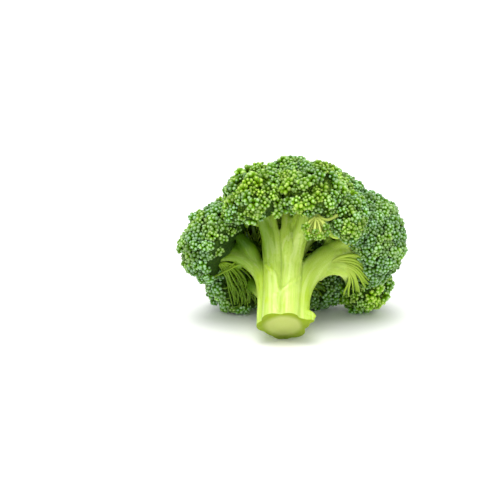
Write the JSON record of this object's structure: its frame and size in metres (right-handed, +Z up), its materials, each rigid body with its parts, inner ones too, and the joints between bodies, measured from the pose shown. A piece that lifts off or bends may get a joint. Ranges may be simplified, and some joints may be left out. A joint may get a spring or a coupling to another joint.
{
  "type": "broccoli head",
  "caption": "Broccoli head lying on its crown and cut end: a fluted pale green stalk forks into branches that carry domed florets of tight green buds.",
  "frame": {"origin": "centre of the bounding box on the surface the head lies on", "axes": "+Z up, +X along the crown's width, -Y from the crown towards the cut end of the stalk"},
  "size_m": [0.1547, 0.1235, 0.1161],
  "materials": {
    "stalk_skin": "waxy fresh vegetable skin, pale yellow green, softly glossy, streaked lengthwise",
    "buds": "tight matt flower buds, blue green at the tips and yellow green in the gaps",
    "young_buds": "loose bright yellow green flower buds, matt"
  },
  "bodies": {
    "root": {"stalk": "stalk_skin", "floret_top": "buds", "floret_top_right": "buds", "floret_top_left": "buds", "floret_top_back": "buds", "floret_front_left": "buds", "floret_front_right": "buds", "floret_side_right": "buds", "floret_right": "buds", "floret_right_low": "buds", "floret_left": "buds", "floret_back_left": "buds", "floret_back": "buds", "floret_back_right": "buds", "floret_tuft": "young_buds"}
  },
  "joints": []
}
